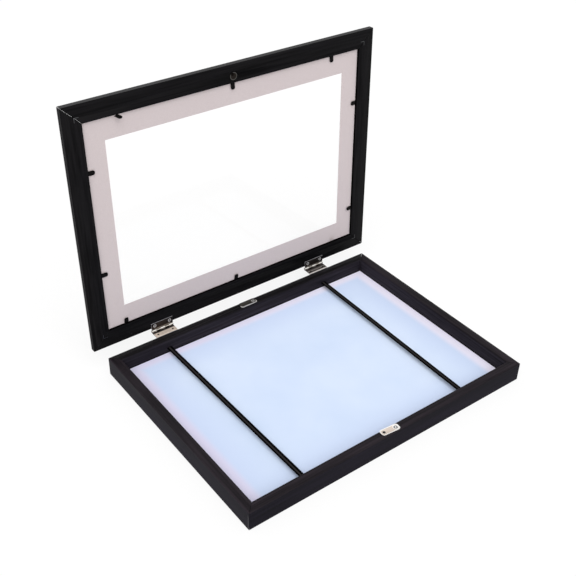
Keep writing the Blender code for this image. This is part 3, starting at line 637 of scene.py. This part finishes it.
def make_screws():
    """Screws toned round their middle: painted shade darkens their driver recess, or the
    countersink round them, and the whole middle of the strike plate's left screw; the rest plate's
    left screw is toned dark all over.
    """
    bright, pale, grey = (0.9, 0.9, 0.9), (0.80, 0.78, 0.77), (0.40, 0.385, 0.38)
    # Painted shade in the recess, or in the countersink round the head
    ringed = ((0.0, RECESS_SHADE), (0.00085, RECESS_SHADE), (0.0011, pale), (0.0016, pale))
    sunk = ((0.0, bright), (0.0008, bright), (0.0011, RECESS_SHADE), (0.0016, RECESS_SHADE))
    hollow = ((0.0, RECESS_SHADE), (0.0012, RECESS_SHADE), (0.0016, grey))
    flat = ((0.0, (0.03, 0.027, 0.024)), (0.0016, (0.075, 0.068, 0.058)))
    looks = [(name, "XZ", ringed) for name in nodes if "hinge" in name and "screw" in name]
    looks += [("strike_plate_screw_left", "XY", hollow), ("strike_plate_screw_right", "XY", sunk),
              ("rest_plate_screw_left", "XY", flat), ("rest_plate_screw_right", "XY", ringed)]
    for name, across, stops in looks:
        dressed(name, turned_finish(name + "_nickel", name, across, stops, roughness=0.3,
                                    metallic=0.3))


def make_sheets():
    """Back panel, liner, mat and pane."""
    dressed("back_panel", fibrous("hardboard", (0.16, 0.095, 0.05), (0.30, 0.19, 0.11),
                                  scale=420.0, detail=6.0, coarseness=0.75,
                                  roughness=0.75, specular=0.3, bump=(0.3, 0.0002)))
    dressed("mat_board", fibrous("mat_paper", (0.575, 0.503, 0.503), (0.63, 0.557, 0.557),
                                 scale=900.0, detail=5.0, coarseness=0.7,
                                 roughness=0.85, specular=0.25, bump=(0.15, 0.0001)))
    dressed("liner_card", liner_card())
    dressed("clear_pane", clear_pane())


def make_straps():
    """Elastic straps, whose weave follows each one's lean."""
    for name, side in (("strap_left", -1), ("strap_right", 1)):
        low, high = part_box(name)
        lean = math.atan2(side * STRAP_DRIFT, high.y - low.y)
        dressed(name, woven_elastic(name + "_elastic", (low + high) / 2, -lean))


def make_small_metal():
    """Hinge pins, bendable tabs, and the plain steel of points, nails and hangers."""
    bright = nickel("nickel_pin", (0.62, 0.585, 0.53), roughness=0.24)
    steel = nickel("plain_steel", (0.10, 0.10, 0.105), roughness=0.34)
    spring = spring_steel()
    for name in nodes:
        if "hinge_pin" in name:
            dressed(name, bright)
        elif name.startswith("tab_"):
            dressed(name, spring)
        elif name.startswith(("back_point", "corner_nail", "sawtooth")):
            dressed(name, steel)


def directly_seen(tree):
    """1 for rays from the camera, off a mirror or through a clear pane."""
    path = tree.nodes.new("ShaderNodeLightPath")
    seen = calculated(tree, "MAXIMUM", path.outputs["Is Camera Ray"], path.outputs["Is Glossy Ray"])
    return calculated(tree, "MAXIMUM", seen, path.outputs["Is Transmission Ray"])


def shown_where(tree, factor, plain, shown, output):
    """Sends a mix of two shaders to the output: the second where the factor is 1."""
    mix = tree.nodes.new("ShaderNodeMixShader")
    tree.links.new(factor, mix.inputs["Fac"])
    tree.links.new(plain, mix.inputs[1])
    tree.links.new(shown, mix.inputs[2])
    tree.links.new(mix.outputs["Shader"], output.inputs["Surface"])


def make_floor():
    """White paper just under the tray; it shows mostly its own white and a faint shadow."""
    half_size, gap, own_white = 12.0, 0.0002, 0.8
    bm = bmesh.new()
    bmesh.ops.create_grid(bm, x_segments=1, y_segments=1, size=half_size)
    mesh = bpy.data.meshes.new("floor")
    bm.to_mesh(mesh)
    bm.free()
    material, tree, shader, _ = finish_of("floor_paper", roughness=0.9, specular=0.0)
    shader.inputs["Base Color"].default_value = (1.0, 1.0, 1.0, 1.0)
    shown = tree.nodes.new("ShaderNodeEmission")
    share = calculated(tree, "MULTIPLY", directly_seen(tree), own_white)
    shown_where(tree, share, shader.outputs["BSDF"], shown.outputs["Emission"],
                tree.nodes["Material Output"])
    mesh.materials.append(material)
    floor = linked("floor", mesh)
    floor.location = (0, 0, -gap)


def make_light():
    """Soft sky that looks white itself, and one broad lamp."""
    sky_strength, lamp_strength, lamp_width = 0.52, 2.1, math.radians(60)
    toward_lamp = Vector((-0.35, -0.55, 1.0))
    world = bpy.data.worlds.new("studio")
    bpy.context.scene.world = world
    world.use_nodes = True
    tree = world.node_tree
    light = tree.nodes["Background"]
    light.inputs["Color"].default_value = (1.0, 0.99, 0.99, 1.0)
    light.inputs["Strength"].default_value = sky_strength
    shown = tree.nodes.new("ShaderNodeBackground")
    shown.inputs["Color"].default_value = (1.0, 1.0, 1.0, 1.0)
    shown.inputs["Strength"].default_value = 1.0
    shown_where(tree, directly_seen(tree), light.outputs["Background"],
                shown.outputs["Background"], tree.nodes["World Output"])
    lamp = bpy.data.lights.new("broad_lamp", "SUN")
    lamp.energy = lamp_strength
    lamp.angle = lamp_width
    item = linked("broad_lamp", lamp)
    item.rotation_mode = "QUATERNION"
    item.rotation_quaternion = toward_lamp.to_track_quat("Z", "Y")


def make_camera():
    """Camera at the photograph's angle: looking down over the left front corner."""
    azimuth, elevation, roll = math.radians(-37.729), math.radians(35.636), math.radians(1.588)
    distance = 0.90941
    target = Vector((0.008446, 0.043684, 0.069682))
    level = math.cos(elevation)
    back = Vector((math.sin(azimuth) * level, -math.cos(azimuth) * level, math.sin(elevation)))
    data = bpy.data.cameras.new("camera")
    data.sensor_width = 36.0
    data.lens = 57.9613
    data.clip_start = 0.01
    data.clip_end = 100.0
    camera = linked("camera", data)
    camera.rotation_mode = "QUATERNION"
    camera.location = target + back * distance
    camera.rotation_quaternion = back.to_track_quat("Z", "Y") @ Quaternion((0, 0, 1), roll)
    bpy.context.scene.camera = camera


make_rails()
make_hinges()
make_plates()
make_magnet()
make_screws()
make_sheets()
make_straps()
make_small_metal()
make_floor()
make_light()
make_camera()
bpy.context.scene.view_settings.view_transform = "Standard"
